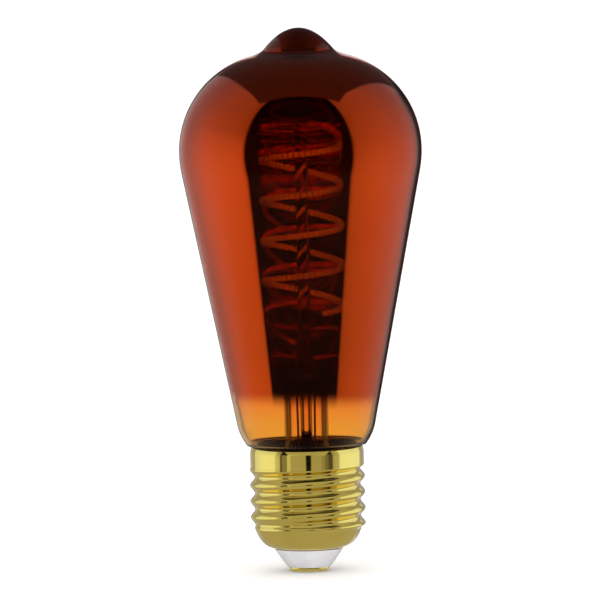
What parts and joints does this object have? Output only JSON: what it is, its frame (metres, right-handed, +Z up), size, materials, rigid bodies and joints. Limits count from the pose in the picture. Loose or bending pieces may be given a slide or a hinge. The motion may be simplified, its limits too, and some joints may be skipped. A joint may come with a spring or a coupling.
{
  "type": "smart light bulb",
  "caption": "Smart filament lamp with a copper-coated amber glass envelope, spiral LED filament on a glass stem, threaded brass screw cap and a wireless driver in the cap",
  "frame": {"origin": "centre of the outer face of the centre contact, the lowest point of the lamp, on the lamp axis", "axes": "+Z up the lamp axis to the glass tip; -Z is the way the cap screws into its holder; +Y is away from the viewer in the front view; +X right"},
  "size_m": [0.0552, 0.0552, 0.1236],
  "materials": {
    "amber_glass": "copper-coated amber glass, polished",
    "clear_glass": "clear drawn glass",
    "phosphor": "matte silicone with phosphor",
    "carrier": "flexible circuit strip",
    "nickel": "nickel-plated",
    "copper": "bare copper",
    "brass": "bright rolled sheet",
    "white_insulator": "smooth white",
    "cement": "matte lamp cement, dark",
    "sleeve": "black moulded",
    "board": "solder-resist green",
    "black_case": "moulded epoxy",
    "ferrite": "matte ferrite",
    "can_sleeve": "shrunk sleeve",
    "red_case": "dipped epoxy",
    "blue_disc": "dipped epoxy",
    "resistor_body": "lacquered",
    "live_insulation": "wire insulation",
    "neutral_insulation": "wire insulation",
    "solder": "satin solder"
  },
  "bodies": {
    "root": {"glass_envelope": "amber_glass", "stem_tube": "clear_glass", "exhaust_tube": "clear_glass", "support_rod": "clear_glass", "filament_carrier": "carrier", "filament_phosphor_outer": "phosphor", "filament_phosphor_inner": "phosphor", "filament_tab_top": "nickel", "filament_tab_bottom": "nickel", "inner_lead_top": "nickel", "inner_lead_bottom": "nickel", "weld_bead_a": "solder", "weld_bead_b": "solder", "outer_lead_a": "copper", "outer_lead_b": "copper", "screw_shell": "brass", "cement_ring": "cement", "cap_insulator": "white_insulator", "centre_contact": "brass", "contact_rivet": "brass", "driver_sleeve": "sleeve", "driver_board": "board", "bulk_capacitor": "can_sleeve", "bridge_rectifier": "black_case", "film_capacitor": "red_case", "fuse_resistor": "resistor_body", "surge_disc": "blue_disc", "choke_core": "ferrite", "choke_winding": "copper", "driver_chip": "black_case", "regulator_chip": "black_case", "radio_board": "board", "radio_chip": "black_case", "radio_crystal": "nickel", "radio_antenna": "copper", "header_strip": "black_case", "header_pin_1": "brass", "header_pin_2": "brass", "header_pin_3": "brass", "header_pin_4": "brass", "live_wire": "live_insulation", "neutral_wire": "neutral_insulation", "neutral_solder": "solder"}
  },
  "joints": []
}
